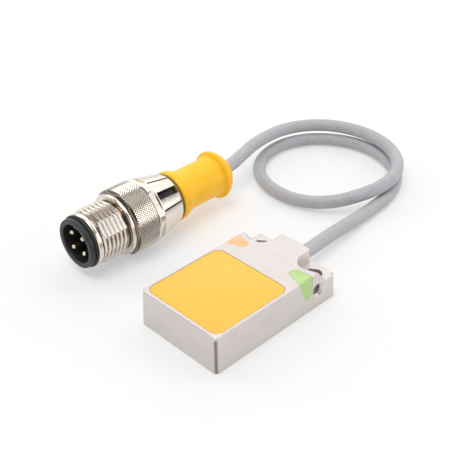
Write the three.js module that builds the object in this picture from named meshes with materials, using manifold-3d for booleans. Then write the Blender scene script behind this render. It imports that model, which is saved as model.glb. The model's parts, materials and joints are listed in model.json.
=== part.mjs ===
// Block proximity sensor, nominally 20 x 32 x 8 mm and drafted to 20.5 x 32.5 mm at its foot,
// with a short free cable and a four-pin M12 plug.
// Millimetres, +Z up. Origin: centre of the housing's underside.
// The sensing face looks up, the cable leaves the housing towards +Y.

import * as THREE from 'three';
import { mergeVertices } from 'three/addons/utils/BufferGeometryUtils.js';
import Module from 'manifold-3d';

const wasm = await Module();
wasm.setup();

// ---------------------------------------------------------------- driving dimensions

// Housing
const WIDTH = 20.5; // at the foot; the drafted walls are 20 x 32 near the top
const LENGTH = 32.5;
const HEIGHT = 8;
const DRAFT = 0.035; // inward lean of the die-cast walls, mm per mm of height
const CORNER_RADIUS = 0.9;
const FLOOR = 1.0;
const SHELF_Z = 5.15; // top of the two screw shelves
const SCREW_X = 7.0;
const SCREW_Y = 13.1;
const SCREW_HOLE_RADIUS = 1.7;
const POCKET_RADIUS = 3.1; // room for the screw head beside the neck
const POCKET_HALF_X = 2.9; // the pocket's half width on its outer side
const NECK_HALF = 3.85;
const SIDE_HOLE_RADIUS = 1.05;
const SIDE_HOLE_MOUTH = 1.5; // radius of its countersunk mouth
const SIDE_HOLE_DEPTH = 4.6;
const SIDE_HOLE_Y = 10.94;
const SIDE_HOLE_Z = 3.95;

// Active face cap and the space under it
const CAP_HALF = 9.4;
const CAP_FRONT = -15.2;
const CAP_REAR = 3.32;
const CAP_CORNER = 1.8;
const CAP_THICK = 1.0;
const CAP_GAP = 0.08;
const CAVITY_HALF = 8.5;
const CAVITY_FRONT = -14.4;
const CAVITY_REAR = 2.5;
const BAY_HALF = 7.6; // electronics bay behind the cap
const BAY_REAR = 8.4;
const BAY_TOP = 6.4;
const NECK_BAY_HALF = 2.9;
const NECK_BAY_REAR = 13.6;

// Sensing core and board
const COIL_Y = (CAP_FRONT + CAP_REAR) / 2;
const CORE_RADIUS = 7.0;
const CORE_Z = 3.2;
const CORE_HEIGHT = 3.5;
const BOARD_Z = 2.2;
const BOARD_THICK = 0.8;
const BOARD_TOP = BOARD_Z + BOARD_THICK;
const PART_GAP = 0.05; // mounted parts sit this far above what carries them
const LED_X = 6.6;
const LED_Y = 7.1;

// Cable
const CABLE_RADIUS = 1.5;
const CABLE_SIDES = 8;
const CORE_WIRE_RADIUS = 0.4;
const EXIT_Z = 3.9;
const JACKET_START_Y = 12.4;
const BUSH_RADIUS = 2.6;
const CABLE_BORE = 1.68;

// Plug, with z counted along its axis from the front face
const PLUG_X = -31.4;
const PLUG_FRONT_Y = -15.23;
const CARRIER_RADIUS = 5.35;
const CARRIER_BODY = 4.85;
const SEAL_RADIUS = 5.65;
const SEAL_START = 1.22;
const SEAL_END = 1.72;
const SOCKET_RADIUS = 4.2;
const SOCKET_DEPTH = 6.0;
const CARRIER_LENGTH = 11.0;
const PIN_RADIUS = 0.5;
const PIN_CIRCLE = 2.5;
const PIN_TIP = 0.35;
const SLEEVE_START = 1.8;
const SLEEVE_RIM_RADIUS = 5.75; // plain rim in front of the thread
const SLEEVE_RIM_END = 2.8;
const THREAD_START = 3.3;
const THREAD_PITCH = 1.0;
const THREAD_RIDGES = 6;
const THREAD_CREST = 6.0;
const THREAD_ROOT = 5.45;
const SLEEVE_BORE = 5.1;
const COLLAR_START = 9.7;
const COLLAR_END = 10.35;
const COLLAR_RADIUS = 6.75;
const NUT_START = 10.45;
const NUT_END = 16.4;
const NUT_RADIUS = 7.35;
const NUT_BORE = 6.35;
const PLUG_Z = NUT_RADIUS + 0.02; // the nut lies on the surface
const FLATS = 6; // flats on the thread, the nut's front edge and the shoulder
const FLAT_ANGLE = 40; // the first flat's place, in degrees above +X
const THREAD_FLAT = 5.7; // how far a flat lies from the axis
const SHOULDER_FLAT = 6.6;
const FLAT_HALF = 4.5; // wider than any of these flats
const SHOULDER_RADIUS = 7.2;
const CONE_START = 18.1;
const CONE_START_RADIUS = 7.0;
const CONE_END = 24.1;
const CONE_END_RADIUS = 5.75;
const SLOTS = 6; // slots round the cone, from here out through its rear end
const SLOT_ANGLE = 20;
const SLOT_START = 18.3;
const WINDOW_ANGLE = 48; // a wider opening between two of the slots
const GRIP_START = 24.25;
const GRIP_END = 41.75;
const JACKET_END = 31.5; // where the cable's jacket stops inside the grip

// Route of the cable's centre line, from inside the neck to inside the grip:
// one and a half turns lying on the surface, the second turn on top of the first.
const CABLE_ROUTE = [
  [0, JACKET_START_Y, EXIT_Z],
  [0, 16.0, EXIT_Z],
  [-0.1, 20.5, 3.8],
  [-0.8, 26.0, 3.3],
  [-1.6, 32.0, 2.5],
  [-2.2, 38.0, 1.8],
  [-2.6, 43.5, 1.52],
  [-3.1, 49.0, 1.52],
  [-4.6, 54.6, 1.52],
  [-7.7, 59.7, 1.52],
  [-12.4, 63.5, 1.52],
  [-18.2, 65.4, 1.52],
  [-24.4, 65.2, 1.52],
  [-30.1, 62.7, 1.52],
  [-34.5, 58.4, 1.52],
  [-36.8, 52.8, 1.52],
  [-36.7, 46.7, 1.52],
  [-34.3, 41.1, 1.52],
  [-29.9, 37.0, 1.52],
  [-24.3, 34.9, 1.52],
  [-18.3, 34.8, 1.6],
  [-13.0, 36.5, 2.1],
  [-8.7, 39.5, 3.0],
  [-5.6, 43.5, 4.1],
  [-4.0, 48.6, 4.7],
  [-4.7, 54.4, 4.75],
  [-7.6, 59.8, 4.7],
  [-12.4, 63.9, 4.7],
  [-18.5, 66.1, 4.7],
  [-25.1, 66.0, 4.7],
  [-31.2, 63.6, 4.7],
  [-35.8, 59.0, 4.75],
  [-37.9, 53.0, 5.0],
  [-37.5, 46.6, 5.6],
  [-35.9, 40.4, 6.4],
  [-33.8, 34.8, 7.0],
  [-32.1, 29.8, 7.3],
  [PLUG_X, 24.5, PLUG_Z],
  [PLUG_X, PLUG_FRONT_Y + JACKET_END, PLUG_Z],
];
const CABLE_STEPS = 54;

// ---------------------------------------------------------------- materials

function finish(color, roughness, metalness) {
  return () => new THREE.MeshStandardMaterial({ color, roughness, metalness });
}

const nickelZinc = finish(0xcfc9c5, 0.35, 0.9);
const nickelBrass = finish(0xd2c4b4, 0.22, 1.0);
const capYellow = finish(0xf9c84f, 0.45, 0);
const gripYellow = finish(0xfcb82a, 0.5, 0);
const blackPlastic = finish(0x1b1b1d, 0.5, 0);
const greyPlastic = finish(0x9a9aa0, 0.5, 0);
const greenPlastic = finish(0xb9da8e, 0.3, 0);
const amberPlastic = finish(0xfcc394, 0.3, 0);
const ferrite = finish(0x3b3a3c, 0.7, 0.1);
const copper = finish(0xb8703a, 0.4, 0.9);
const gold = finish(0xd9b25a, 0.25, 1.0);
const boardGreen = finish(0x1f5a3a, 0.5, 0);
const rubber = finish(0x2a2a2c, 0.8, 0);
const resin = finish(0x3a3d42, 0.6, 0);

// ---------------------------------------------------------------- solid helpers

function toSolid(geometry) {
  const bare = geometry.clone();
  bare.deleteAttribute('normal');
  bare.deleteAttribute('uv');
  const merged = mergeVertices(bare, 1e-4);
  const vertProperties = new Float32Array(merged.attributes.position.array);
  const triVerts = new Uint32Array(merged.index.array);
  return new wasm.Manifold(new wasm.Mesh({ numProp: 3, vertProperties, triVerts }));
}

function toGeometry(solid) {
  const mesh = solid.getMesh();
  const geometry = new THREE.BufferGeometry();
  geometry.setAttribute('position', new THREE.BufferAttribute(mesh.vertProperties, 3));
  geometry.setIndex(new THREE.BufferAttribute(mesh.triVerts, 1));
  geometry.computeVertexNormals();
  return geometry;
}

// Cut a list of geometries out of a base geometry, after joining any extra ones to it.
function carve(base, cuts, joins = []) {
  let solid = toSolid(base);
  for (const geometry of joins) {
    solid = solid.add(toSolid(geometry));
  }
  for (const geometry of cuts) {
    solid = solid.subtract(toSolid(geometry));
  }
  return toGeometry(solid);
}

function box(x0, x1, y0, y1, z0, z1) {
  const geometry = new THREE.BoxGeometry(x1 - x0, y1 - y0, z1 - z0);
  return geometry.translate((x0 + x1) / 2, (y0 + y1) / 2, (z0 + z1) / 2);
}

// Cylinder from z0 to z1 round the Z axis; its two radii may differ.
function post(x, y, z0, z1, lowRadius, highRadius = lowRadius, sides = 24) {
  const geometry = new THREE.CylinderGeometry(highRadius, lowRadius, z1 - z0, sides);
  return geometry.rotateX(Math.PI / 2).translate(x, y, (z0 + z1) / 2);
}

function roundedRectangle(x0, x1, y0, y1, radius) {
  const shape = new THREE.Shape();
  shape.moveTo(x0 + radius, y0);
  shape.lineTo(x1 - radius, y0);
  shape.absarc(x1 - radius, y0 + radius, radius, -Math.PI / 2, 0);
  shape.lineTo(x1, y1 - radius);
  shape.absarc(x1 - radius, y1 - radius, radius, 0, Math.PI / 2);
  shape.lineTo(x0 + radius, y1);
  shape.absarc(x0 + radius, y1 - radius, radius, Math.PI / 2, Math.PI);
  shape.lineTo(x0, y0 + radius);
  shape.absarc(x0 + radius, y0 + radius, radius, Math.PI, Math.PI * 1.5);
  return shape;
}

function slab(shape, z0, z1, curveSegments = 5) {
  const options = { depth: z1 - z0, bevelEnabled: false, curveSegments };
  return new THREE.ExtrudeGeometry(shape, options).translate(0, 0, z0);
}

// Solid of revolution round Z from a closed or axis-to-axis profile of [radius, z] pairs.
function turned(profile, sides = 28) {
  const points = profile.map(([radius, z]) => new THREE.Vector2(radius, z));
  return new THREE.LatheGeometry(points, sides).rotateX(Math.PI / 2);
}

// Turn a feature made on +Y of the plug's own frame to an angle, in degrees, above world +X.
function turnTo(geometry, degrees) {
  return geometry.rotateZ(-THREE.MathUtils.degToRad(degrees + 90));
}

function ring(inner, outer, z0, z1, sides = 28) {
  return turned([[inner, z0], [outer, z0], [outer, z1], [inner, z1], [inner, z0]], sides);
}

function circleShape(radius, sides) {
  const points = [];
  for (let i = 0; i < sides; i++) {
    const angle = (2 * Math.PI * (i + 0.5)) / sides;
    points.push(new THREE.Vector2(radius * Math.cos(angle), radius * Math.sin(angle)));
  }
  return new THREE.Shape(points);
}

function tube(route, radius, sides, steps) {
  const points = route.map(([x, y, z]) => new THREE.Vector3(x, y, z));
  const extrudePath = new THREE.CatmullRomCurve3(points, false, 'centripetal');
  return new THREE.ExtrudeGeometry(circleShape(radius, sides), { steps, extrudePath });
}

function mirrorX(geometry) {
  const flipped = geometry.clone().applyMatrix4(new THREE.Matrix4().makeScale(-1, 1, 1));
  const index = flipped.index ?? new THREE.BufferAttribute(
    new Uint32Array(flipped.attributes.position.count).map((_, i) => i), 1);
  for (let i = 0; i < index.count; i += 3) {
    const kept = index.getX(i);
    index.setX(i, index.getX(i + 1));
    index.setX(i + 1, kept);
  }
  flipped.setIndex(index);
  return flipped;
}

function bothSides(geometry) {
  return [geometry, mirrorX(geometry)];
}

// ---------------------------------------------------------------- housing

function draftedBlock() {
  const halfWidth = WIDTH / 2;
  const halfLength = LENGTH / 2;
  const outline = roundedRectangle(-halfWidth, halfWidth, -halfLength, halfLength, CORNER_RADIUS);
  const block = slab(outline, 0, HEIGHT);
  const position = block.attributes.position;
  for (let i = 0; i < position.count; i++) {
    const lean = DRAFT * position.getZ(i);
    position.setX(i, position.getX(i) * (1 - lean / halfWidth));
    position.setY(i, position.getY(i) * (1 - lean / halfLength));
  }
  return block;
}

// Space over a screw shelf. Its front wall is upright beside the neck and leans
// forwards towards the housing's side, where it runs out as a scoop.
function shelfPocket() {
  const outer = WIDTH / 2 + 1;
  const rear = LENGTH / 2 + 1;
  const outline = new THREE.Shape();
  outline.moveTo(NECK_HALF, rear);
  outline.lineTo(NECK_HALF, SCREW_Y);
  outline.absarc(NECK_HALF + POCKET_RADIUS, SCREW_Y, POCKET_RADIUS, Math.PI, Math.PI * 1.5);
  outline.absellipse(NECK_HALF + POCKET_RADIUS, SCREW_Y, POCKET_HALF_X, POCKET_RADIUS,
    Math.PI * 1.5, Math.PI * 2);
  outline.lineTo(outer, SCREW_Y);
  outline.lineTo(outer, rear);
  const pocket = slab(outline, SHELF_Z, HEIGHT + 1, 7);
  const position = pocket.attributes.position;
  const middle = NECK_HALF + POCKET_RADIUS;
  const edgeSlope = 0.3;
  for (let i = 0; i < position.count; i++) {
    const x = position.getX(i);
    const y = position.getY(i);
    if (x > middle && y <= SCREW_Y) {
      const topY = SCREW_Y - POCKET_RADIUS + edgeSlope * (x - middle);
      const rise = (position.getZ(i) - SHELF_Z) / (HEIGHT - SHELF_Z);
      position.setY(i, y + (topY - y) * rise);
    }
  }
  return pocket;
}

// Outline of an indicator window on the top, seen from above, for the +X side.
function windowTopShape(clearance) {
  const shape = new THREE.Shape();
  const outer = WIDTH / 2 + 1;
  shape.moveTo(outer, 5.25 - clearance);
  shape.lineTo(6.5 - clearance, 6.75 - clearance);
  shape.quadraticCurveTo(5.9 - clearance, 7.0 - clearance, 5.9 - clearance, 7.7);
  shape.quadraticCurveTo(5.9 - clearance, 9.0 + clearance, 7.2, 9.0 + clearance);
  shape.lineTo(outer, 9.55 + clearance);
  return shape;
}

// Outline of the same window on the side wall; shape x is the housing's Y, shape y its Z.
function windowSideShape(clearance) {
  const shape = new THREE.Shape();
  const top = HEIGHT + 1;
  shape.moveTo(5.0 - clearance, top);
  shape.lineTo(5.65 - clearance, 7.9);
  shape.lineTo(6.9 - clearance, 4.6);
  shape.quadraticCurveTo(7.3 - clearance, 3.3 - clearance, 8.2, 3.3 - clearance);
  shape.quadraticCurveTo(9.1 + clearance, 3.4 - clearance, 9.3 + clearance, 4.8);
  shape.lineTo(9.6 + clearance, 7.0);
  shape.lineTo(9.6 + clearance, top);
  return shape;
}

const WINDOW_DEPTH = 1.0;
const WINDOW_SIDE_DEPTH = 1.3;

// The window fills the corner between the housing's top and side: both outlines
// are run through the corner, and what they share is kept near the two faces.
function windowBlock(clearance) {
  const fromTop = slab(windowTopShape(clearance), 2, HEIGHT + 1);
  const fromSide = slab(windowSideShape(clearance), 0, WIDTH / 2 + 1);
  fromSide.applyMatrix4(new THREE.Matrix4().set(
    0, 0, 1, 0,
    1, 0, 0, 0,
    0, 1, 0, 0,
    0, 0, 0, 1));
  const behind = box(0, WIDTH / 2 - WINDOW_SIDE_DEPTH - clearance, 0, LENGTH / 2,
    0, HEIGHT - WINDOW_DEPTH - clearance);
  return toGeometry(toSolid(fromTop).intersect(toSolid(fromSide)).subtract(toSolid(behind)));
}

function housing() {
  const lip = CAP_GAP;
  const capShape = roundedRectangle(-CAP_HALF - lip, CAP_HALF + lip, CAP_FRONT - lip,
    CAP_REAR + lip, CAP_CORNER + lip);
  const sideFace = WIDTH / 2 - DRAFT * SIDE_HOLE_Z;
  const sideHole = post(0, 0, sideFace - SIDE_HOLE_DEPTH, WIDTH / 2 + 1, SIDE_HOLE_RADIUS,
    SIDE_HOLE_RADIUS, 20);
  const sideSink = post(0, 0, sideFace - 0.6, sideFace + 0.3, SIDE_HOLE_MOUTH - 0.3,
    SIDE_HOLE_MOUTH + 0.15, 20);
  const turnToX = new THREE.Matrix4().set(
    0, 0, 1, 0,
    1, 0, 0, SIDE_HOLE_Y,
    0, 1, 0, SIDE_HOLE_Z,
    0, 0, 0, 1);
  sideHole.applyMatrix4(turnToX);
  sideSink.applyMatrix4(turnToX);
  const cableBore = post(0, 0, NECK_BAY_REAR - 0.5, LENGTH / 2 + 1, BUSH_RADIUS + 0.06);
  cableBore.applyMatrix4(new THREE.Matrix4().set(
    1, 0, 0, 0,
    0, 0, 1, 0,
    0, -1, 0, EXIT_Z,
    0, 0, 0, 1));
  const cuts = [
    slab(capShape, HEIGHT - CAP_THICK, HEIGHT + 1),
    box(-CAVITY_HALF, CAVITY_HALF, CAVITY_FRONT, CAVITY_REAR, FLOOR, HEIGHT - 0.5),
    box(-BAY_HALF, BAY_HALF, CAVITY_REAR - 0.5, BAY_REAR, FLOOR, BAY_TOP),
    box(-NECK_BAY_HALF, NECK_BAY_HALF, BAY_REAR - 0.5, NECK_BAY_REAR, FLOOR + 0.2, BAY_TOP),
    cableBore,
    ...bothSides(shelfPocket()),
    ...bothSides(post(SCREW_X, SCREW_Y, -1, SHELF_Z + 1, SCREW_HOLE_RADIUS)),
    ...bothSides(sideHole),
    ...bothSides(sideSink),
    ...bothSides(windowBlock(0)),
    ...bothSides(post(LED_X, LED_Y, BAY_TOP - 0.5, HEIGHT - 0.5, 0.95, 0.95, 16)),
  ];
  return carve(draftedBlock(), cuts);
}

function lightGuide() {
  const gap = 0.06;
  const stem = post(LED_X, LED_Y, BOARD_TOP + 1.0, HEIGHT - 0.5, 0.8, 0.8, 12);
  const body = toSolid(windowBlock(-gap)).add(toSolid(stem));
  return toGeometry(body.intersect(toSolid(draftedBlock())));
}

function activeFaceCap() {
  const plate = slab(roundedRectangle(-CAP_HALF, CAP_HALF, CAP_FRONT, CAP_REAR, CAP_CORNER),
    HEIGHT - CAP_THICK, HEIGHT);
  const inset = 0.15;
  const wall = 0.7;
  const skirt = (edge, z0, z1) => box(-CAVITY_HALF + edge, CAVITY_HALF - edge,
    CAVITY_FRONT + edge, CAVITY_REAR - edge, z0, z1);
  const skirtTop = HEIGHT - CAP_THICK;
  return carve(plate, [skirt(inset + wall, skirtTop - 2, skirtTop)],
    [skirt(inset, skirtTop - 1.2, skirtTop + 0.5)]);
}

// ---------------------------------------------------------------- sensing core and electronics

function ferriteCore() {
  const floorTop = CORE_Z + 1.1;
  const top = CORE_Z + CORE_HEIGHT;
  const postRadius = 2.7;
  const wallInner = CORE_RADIUS - 1.2;
  const profile = [
    [0, CORE_Z], [CORE_RADIUS, CORE_Z], [CORE_RADIUS, top], [wallInner, top],
    [wallInner, floorTop], [postRadius, floorTop], [postRadius, top], [0, top],
  ];
  return turned(profile).translate(0, COIL_Y, 0);
}

function coilBobbin() {
  const z0 = CORE_Z + 1.2;
  const z1 = CORE_Z + CORE_HEIGHT - 0.1;
  const flange = 0.3;
  const profile = [
    [2.8, z0], [5.65, z0], [5.65, z0 + flange], [3.2, z0 + flange],
    [3.2, z1 - flange], [5.65, z1 - flange], [5.65, z1], [2.8, z1], [2.8, z0],
  ];
  return turned(profile).translate(0, COIL_Y, 0);
}

function coilWinding() {
  const z0 = CORE_Z + 1.2 + 0.3 + PART_GAP;
  const z1 = CORE_Z + CORE_HEIGHT - 0.1 - 0.3 - PART_GAP;
  return ring(3.25, 5.4, z0, z1).translate(0, COIL_Y, 0);
}

function circuitBoard() {
  const outline = roundedRectangle(-7.3, 7.3, -13.9, 8.1, 0.8);
  const notch = new THREE.Path();
  notch.absarc(0, COIL_Y, 1.2, 0, Math.PI * 2);
  outline.holes.push(notch);
  return slab(outline, BOARD_Z, BOARD_TOP, 4);
}

function onBoard(x, y, width, length, height) {
  const z0 = BOARD_TOP + PART_GAP;
  return box(x - width / 2, x + width / 2, y - length / 2, y + length / 2, z0, z0 + height);
}

// A surface-mount part with a bevelled top edge.
function chip(x, y, width, length, height) {
  const bevel = 0.15;
  const shape = roundedRectangle(x - width / 2 + bevel, x + width / 2 - bevel,
    y - length / 2 + bevel, y + length / 2 - bevel, 0.1);
  const options = {
    depth: height - bevel,
    bevelThickness: bevel,
    bevelSize: bevel,
    bevelSegments: 1,
    curveSegments: 2,
  };
  return new THREE.ExtrudeGeometry(shape, options).translate(0, 0, BOARD_TOP + PART_GAP + bevel);
}

// ---------------------------------------------------------------- cable side

function alongYAxis(geometry, x, z) {
  return geometry.rotateX(-Math.PI / 2).translate(x, 0, z);
}

function cableBush() {
  const z0 = NECK_BAY_REAR + 0.1;
  const z1 = LENGTH / 2 - 0.2;
  const inner = CABLE_BORE;
  const profile = [
    [inner, z0], [BUSH_RADIUS, z0], [BUSH_RADIUS, z1 - 0.6], [BUSH_RADIUS - 0.25, z1 - 0.6],
    [BUSH_RADIUS - 0.25, z1], [inner, z1], [inner, z0],
  ];
  return alongYAxis(turned(profile, 24), 0, EXIT_Z);
}

const CORE_OFFSETS = [[-1, -1], [-1, 1], [1, 1], [1, -1]];
const CORE_SPREAD = 0.47; // cores leave the jacket this far off its axis
const PAD_PITCH = 1.15;

function sensorWire(index) {
  const [side, up] = CORE_OFFSETS[index];
  const padX = (index - 1.5) * PAD_PITCH;
  const padZ = BOARD_TOP + PART_GAP + CORE_WIRE_RADIUS + 0.02;
  const startX = side * CORE_SPREAD;
  const startZ = EXIT_Z + up * CORE_SPREAD;
  const route = [
    [startX, JACKET_START_Y - 0.12, startZ],
    [startX, JACKET_START_Y - 1.0, startZ],
    [startX * 0.5 + padX * 0.5, 9.8, (startZ + padZ) / 2],
    [padX, 8.4, padZ],
    [padX, 6.6, padZ],
  ];
  return tube(route, CORE_WIRE_RADIUS, 6, 9);
}

function cable() {
  return tube(CABLE_ROUTE, CABLE_RADIUS, CABLE_SIDES, CABLE_STEPS);
}

// ---------------------------------------------------------------- plug pieces, axis along Z

function pinPlace(index) {
  const angle = Math.PI / 4 + (Math.PI / 2) * index;
  return [PIN_CIRCLE * Math.cos(angle), PIN_CIRCLE * Math.sin(angle)];
}

function contactCarrier() {
  const shoulder = 1.15;
  const profile = [
    [0, SOCKET_DEPTH], [SOCKET_RADIUS, SOCKET_DEPTH], [SOCKET_RADIUS, 0.25],
    [SOCKET_RADIUS + 0.2, 0], [CARRIER_RADIUS - 0.2, 0], [CARRIER_RADIUS, 0.2],
    [CARRIER_RADIUS, shoulder], [CARRIER_BODY, shoulder], [CARRIER_BODY, CARRIER_LENGTH],
    [0, CARRIER_LENGTH],
  ];
  const holes = [0, 1, 2, 3].map((index) => {
    const [x, y] = pinPlace(index);
    return post(x, y, SOCKET_DEPTH - 1, CARRIER_LENGTH + 1, 0.6, 0.6, 12);
  });
  const key = box(-0.6, 0.6, -SOCKET_RADIUS - 0.2, -SOCKET_RADIUS + 0.75, 0.5, SOCKET_DEPTH + 0.5);
  return carve(turned(profile, 32), holes, [key]);
}

function contactPin(index) {
  const [x, y] = pinPlace(index);
  const end = CARRIER_LENGTH + 1.0;
  const profile = [
    [0, PIN_TIP], [PIN_RADIUS * 0.5, PIN_TIP], [PIN_RADIUS, PIN_TIP + 0.45],
    [PIN_RADIUS, CARRIER_LENGTH + 0.15], [0.7, CARRIER_LENGTH + 0.15], [0.7, end], [0, end],
  ];
  return turned(profile, 10).translate(x, y, 0);
}

function carrierSeal() {
  return ring(CARRIER_BODY + 0.06, SEAL_RADIUS, SEAL_START, SEAL_END, 28);
}

// Six blocks whose inner faces stand at a distance from the axis, for cutting flats.
function flatCutters(distance, half, z0, z1) {
  const cutters = [];
  for (let flat = 0; flat < FLATS; flat++) {
    const block = box(-half, half, distance, NUT_RADIUS + 1, z0, z1);
    cutters.push(turnTo(block, FLAT_ANGLE + (360 * flat) / FLATS));
  }
  return cutters;
}

// Threaded sleeve with its collar. The thread is a stack of ridges one pitch apart.
function couplingScrew() {
  const profile = [
    [SLEEVE_BORE, SLEEVE_START],
    [THREAD_ROOT, SLEEVE_START],
    [SLEEVE_RIM_RADIUS, SLEEVE_START + 0.25],
    [SLEEVE_RIM_RADIUS, SLEEVE_RIM_END],
    [THREAD_ROOT, SLEEVE_RIM_END + 0.25],
    [THREAD_ROOT, THREAD_START],
  ];
  for (let ridge = 0; ridge < THREAD_RIDGES; ridge++) {
    const z = THREAD_START + ridge * THREAD_PITCH;
    profile.push([THREAD_CREST, z + THREAD_PITCH / 2], [THREAD_ROOT, z + THREAD_PITCH]);
  }
  profile.push(
    [THREAD_ROOT, COLLAR_START],
    [COLLAR_RADIUS - 0.3, COLLAR_START],
    [COLLAR_RADIUS, COLLAR_START + 0.3],
    [COLLAR_RADIUS, COLLAR_END],
    [NUT_BORE - 0.1, COLLAR_END],
    [NUT_BORE - 0.1, NUT_END - 0.2],
    [SLEEVE_BORE, NUT_END - 0.2],
    [SLEEVE_BORE, SLEEVE_START],
  );
  const threadEnd = THREAD_START + THREAD_RIDGES * THREAD_PITCH;
  return carve(turned(profile, 28), flatCutters(THREAD_FLAT, FLAT_HALF, THREAD_START,
    threadEnd));
}

function knurledNut() {
  const chamfer = 0.3;
  const recessDepth = 0.65;
  const recessHalf = 2.1;
  const profile = [
    [NUT_BORE, NUT_START], [NUT_RADIUS - chamfer, NUT_START], [NUT_RADIUS, NUT_START + chamfer],
    [NUT_RADIUS, NUT_END - chamfer], [NUT_RADIUS - chamfer, NUT_END], [NUT_BORE, NUT_END],
    [NUT_BORE, NUT_START],
  ];
  const recesses = flatCutters(COLLAR_RADIUS + 0.05, recessHalf, NUT_START - 1,
    NUT_START + recessDepth);
  return carve(turned(profile, 48), recesses);
}

// Tapered rear part of the coupling: a window on one side and narrow slots round it.
function rearCone() {
  const start = NUT_END + 0.1;
  const bore = 5.9;
  const endWall = 0.8;
  const windowHalf = 0.85;
  const slotHalf = 0.18;
  const profile = [
    [bore, start], [SHOULDER_RADIUS - 0.15, start], [SHOULDER_RADIUS, start + 0.15],
    [SHOULDER_RADIUS, CONE_START - 0.1], [CONE_START_RADIUS, CONE_START],
    [CONE_END_RADIUS, CONE_END], [CONE_END_RADIUS - endWall, CONE_END], [bore, CONE_START + 0.6],
    [bore, start],
  ];
  const cuts = flatCutters(SHOULDER_FLAT, FLAT_HALF, start - 1, CONE_START - 0.1);
  const opening = (half) => box(-half, half, 3, SHOULDER_RADIUS + 1, SLOT_START, CONE_END + 1);
  cuts.push(turnTo(opening(windowHalf), WINDOW_ANGLE));
  for (let slot = 0; slot < SLOTS; slot++) {
    cuts.push(turnTo(opening(slotHalf), SLOT_ANGLE + (360 * slot) / SLOTS));
  }
  return carve(turned(profile, 36), cuts);
}

function detentRing() {
  return ring(4.05, 4.5, SLOT_START - 0.8, CONE_END - 0.3, 24);
}

// Moulding that holds the carrier and carries the wires back to the cable.
function innerBody() {
  const profile = [
    [3.4, CARRIER_LENGTH + 0.15], [4.75, CARRIER_LENGTH + 0.15], [4.75, 16.7], [3.95, 16.7],
    [3.95, 28.5], [3.4, 28.5], [3.4, CARRIER_LENGTH + 0.15],
  ];
  return turned(profile, 24);
}

// Outer profile of the grip: front ring, waist, bead and domed end.
const GRIP_PROFILE = [
  [5.2, GRIP_START], [5.35, GRIP_START + 0.15], [5.6, 25.05], [5.6, 26.2], [5.3, 27.1],
  [4.95, 27.8], [4.68, 28.9], [4.6, 31.0], [4.6, 35.0], [4.65, 36.8], [4.85, 37.4],
  [5.3, 37.65], [5.58, 37.95], [5.58, 38.3], [5.35, 38.9], [4.75, 39.6], [4.0, 40.4],
  [3.2, 41.1], [2.1, GRIP_END],
];

function plugGrip() {
  const bore = CABLE_BORE;
  const inside = [
    [bore, GRIP_END], [bore, 36.1], [2.5, 36.1], [2.5, 33.9], [bore, 33.9],
    [bore, 31.1], [4.05, 28.8], [4.05, GRIP_START], [5.2, GRIP_START],
  ];
  return turned([...GRIP_PROFILE, ...inside], 24);
}

function crimpRing() {
  return ring(CABLE_BORE, 2.35, 34.0, 36.0, 20);
}

function plugWire(index) {
  const [x, y] = pinPlace(index);
  const end = CORE_SPREAD;
  const start = CARRIER_LENGTH + 1.1;
  const route = [
    [x, y, start],
    [x * 0.95, y * 0.95, start + 3],
    [x * 0.5, y * 0.5, 22.5],
    [Math.sign(x) * end, Math.sign(y) * end, 28.5],
    [Math.sign(x) * end, Math.sign(y) * end, JACKET_END - 0.15],
  ];
  return tube(route, CORE_WIRE_RADIUS, 6, 8);
}

// ---------------------------------------------------------------- assembly

function piece(name, geometry, makeMaterial) {
  const mesh = new THREE.Mesh(geometry, makeMaterial());
  mesh.name = name;
  return mesh;
}

function buildSensor() {
  const sensor = new THREE.Group();
  sensor.add(
    piece('housing', housing(), nickelZinc),
    piece('active_face_cap', activeFaceCap(), capYellow),
    piece('ferrite_core', ferriteCore(), ferrite),
    piece('coil_bobbin', coilBobbin(), greyPlastic),
    piece('coil_winding', coilWinding(), copper),
    piece('circuit_board', circuitBoard(), boardGreen),
    piece('potting_fill', box(-7.4, 7.4, -14.2, 8.2, FLOOR + 0.1, BOARD_Z - 0.1), resin),
    piece('oscillator_chip', chip(0, 4.3, 4, 4, 1), blackPlastic),
    piece('output_driver', chip(-4.6, 4.2, 2.9, 1.6, 1.1), blackPlastic),
    piece('supply_capacitor', onBoard(4.3, 3.6, 1.6, 3.2, 1.4), greyPlastic),
    piece('trim_resistor', onBoard(-4.6, 6.6, 2, 1.2, 0.6), blackPlastic),
    piece('led_green', chip(LED_X, LED_Y, 1.2, 1.8, 0.8), greenPlastic),
    piece('led_amber', chip(-LED_X, LED_Y, 1.2, 1.8, 0.8), amberPlastic),
    piece('light_guide_green', lightGuide(), greenPlastic),
    piece('light_guide_amber', mirrorX(lightGuide()), amberPlastic),
    piece('cable_bush', cableBush(), rubber),
  );
  CORE_OFFSETS.forEach((_, index) => {
    sensor.add(piece(`sensor_wire_${index + 1}`, sensorWire(index), greyPlastic));
  });
  return sensor;
}

function buildPlug() {
  const plug = new THREE.Group();
  plug.rotation.x = -Math.PI / 2;
  plug.position.set(PLUG_X, PLUG_FRONT_Y, PLUG_Z);
  plug.add(
    piece('contact_carrier', contactCarrier(), blackPlastic),
    piece('carrier_seal', carrierSeal(), rubber),
    piece('coupling_screw', couplingScrew(), nickelBrass),
    piece('knurled_nut', knurledNut(), nickelBrass),
    piece('rear_cone', rearCone(), nickelBrass),
    piece('detent_ring', detentRing(), blackPlastic),
    piece('inner_body', innerBody(), blackPlastic),
    piece('crimp_ring', crimpRing(), nickelBrass),
    piece('plug_grip', plugGrip(), gripYellow),
  );
  for (let index = 0; index < 4; index++) {
    plug.add(piece(`contact_pin_${index + 1}`, contactPin(index), gold));
    plug.add(piece(`plug_wire_${index + 1}`, plugWire(index), greyPlastic));
  }
  return plug;
}

const assembly = new THREE.Group();
assembly.add(buildSensor());
assembly.add(buildPlug());
assembly.add(piece('cable', cable(), greyPlastic));

export default assembly;
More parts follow.
